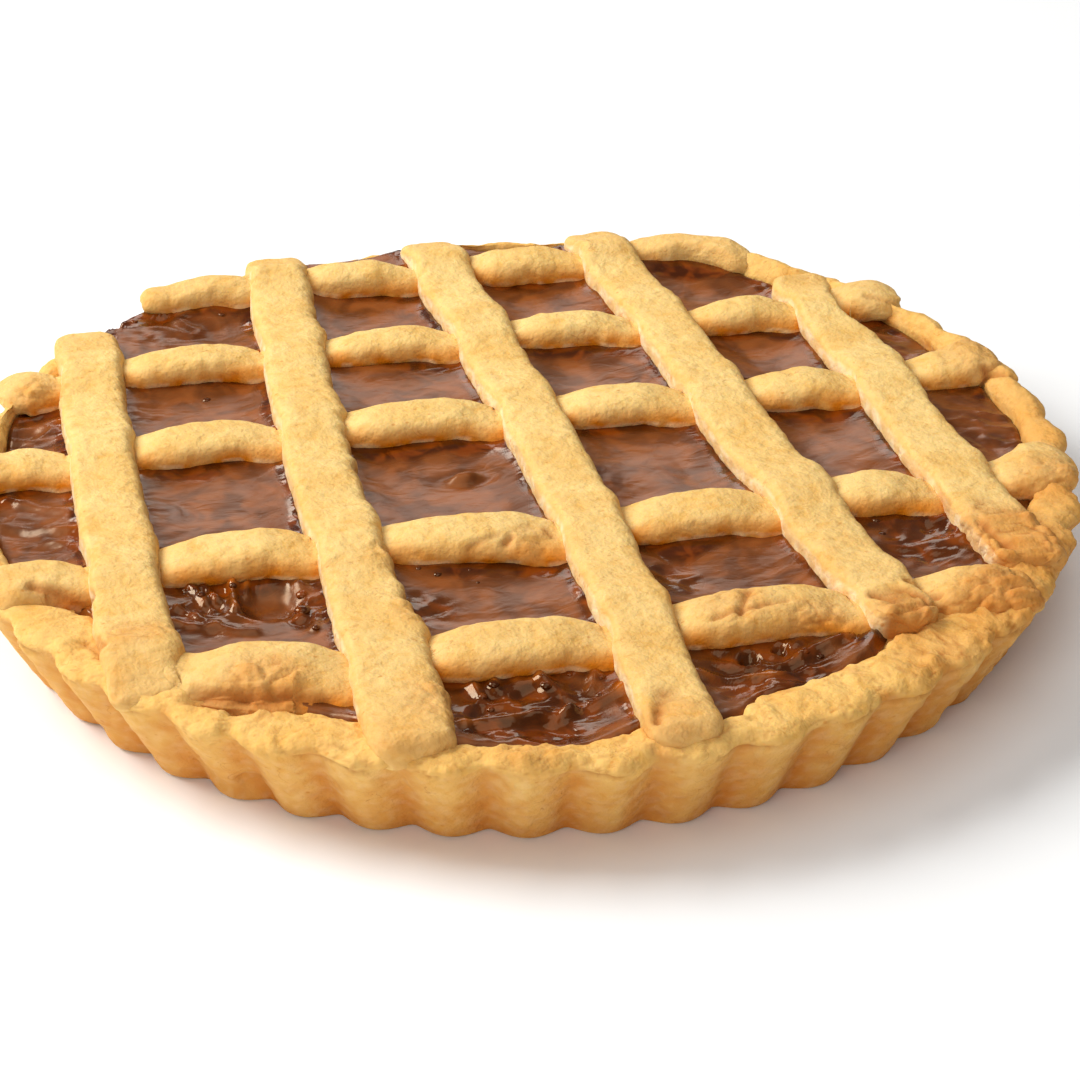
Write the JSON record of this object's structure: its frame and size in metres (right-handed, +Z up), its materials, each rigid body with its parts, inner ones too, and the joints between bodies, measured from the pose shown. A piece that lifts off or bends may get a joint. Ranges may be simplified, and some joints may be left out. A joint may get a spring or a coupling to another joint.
{
  "type": "lattice tart",
  "caption": "Round fluted shortcrust tart filled with caramel to the rim, under an open pastry lattice laid square to itself",
  "frame": {"origin": "centre of the flat underside, on the table", "axes": "+Z up; +Y along the long, upper strips from the front of the tart in the picture to its back; +X to the right along the lower strips"},
  "size_m": [0.2501, 0.2498, 0.028],
  "materials": {
    "crust": "baked shortcrust, dry and matt, tan to brown in the flutes",
    "strip": "baked shortcrust, golden yellow, matt, finely pitted",
    "filling": "baked caramel, satin skin with glossy, slightly see-through edges"
  },
  "bodies": {
    "root": {"crust": "crust", "filling": "filling", "cross_strip_1": "strip", "cross_strip_2": "strip", "cross_strip_3": "strip", "cross_strip_4": "strip", "cross_strip_5": "strip", "long_strip_1": "strip", "long_strip_2": "strip", "long_strip_3": "strip", "long_strip_4": "strip", "long_strip_5": "strip"}
  },
  "joints": []
}
